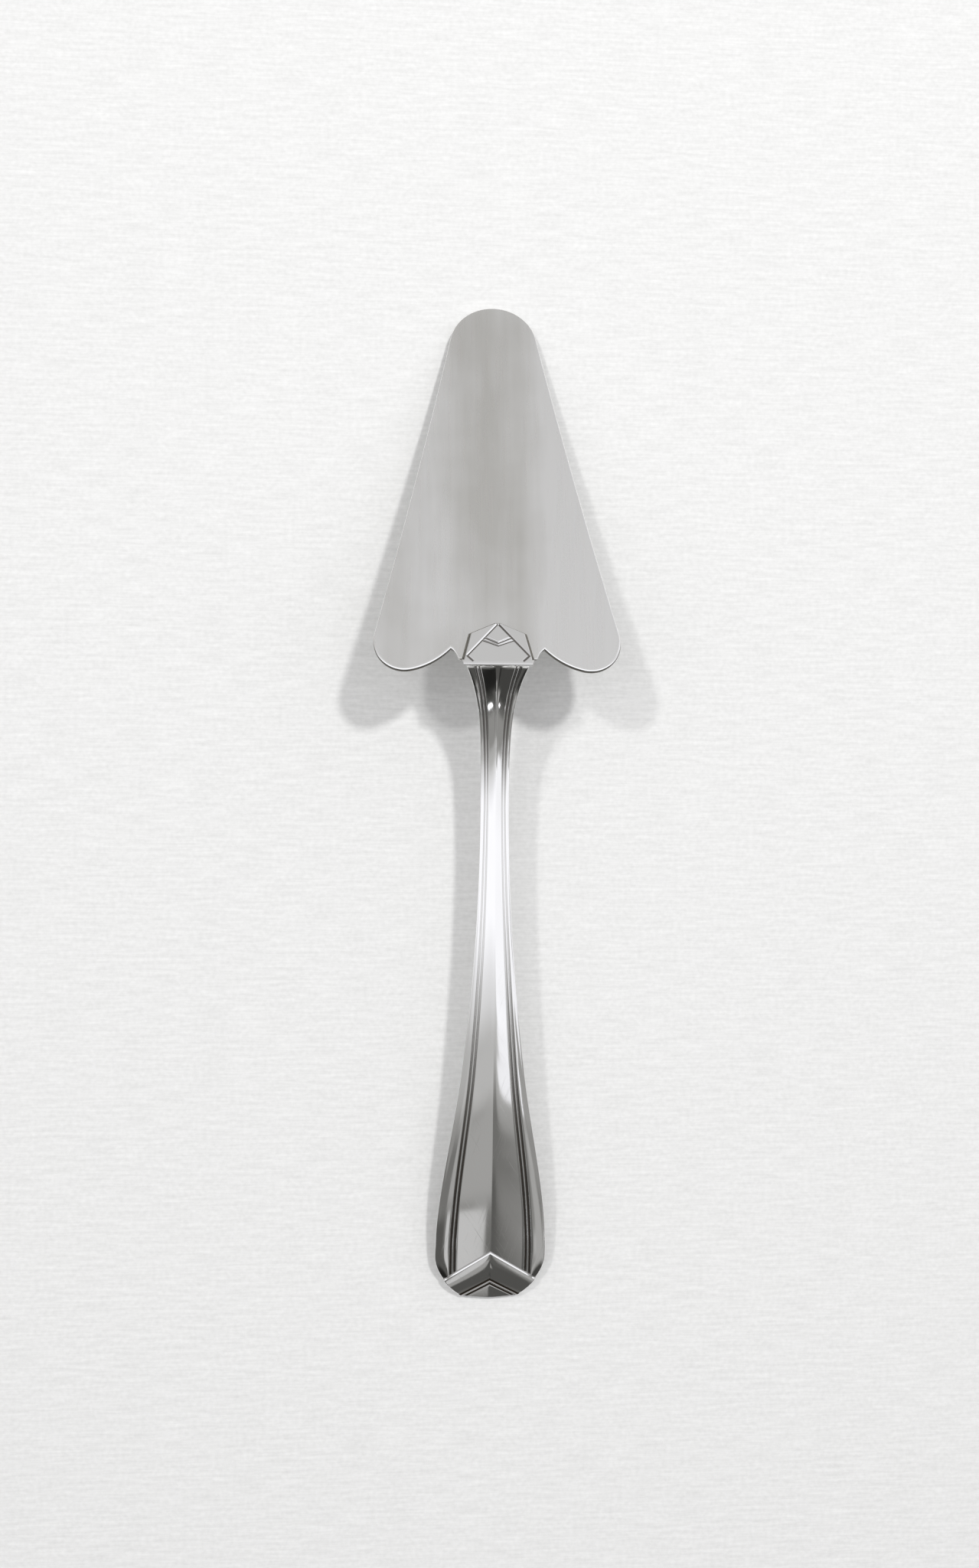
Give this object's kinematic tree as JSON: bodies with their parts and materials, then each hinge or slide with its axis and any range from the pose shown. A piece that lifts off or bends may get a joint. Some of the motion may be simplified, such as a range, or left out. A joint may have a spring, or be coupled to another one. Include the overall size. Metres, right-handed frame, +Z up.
{
  "type": "cake server",
  "caption": "All-metal cake server with a flat flaring blade, scalloped at the rear, soldered under the tongue of a cranked handle that widens to a chevron end.",
  "frame": {"origin": "on the table under the middle of the whole server, which lies face down on its blade tip and the end of its handle", "axes": "+Y along the server towards the blade's tip, +X across it to the right seen from above, +Z up"},
  "size_m": [0.056, 0.24, 0.0268],
  "materials": {
    "satin_silver_plate": "satin",
    "polished_silver_plate": "polished",
    "hard_solder": "satin"
  },
  "bodies": {
    "root": {"blade": "satin_silver_plate", "handle": "polished_silver_plate", "solder_seam": "hard_solder"}
  },
  "joints": []
}
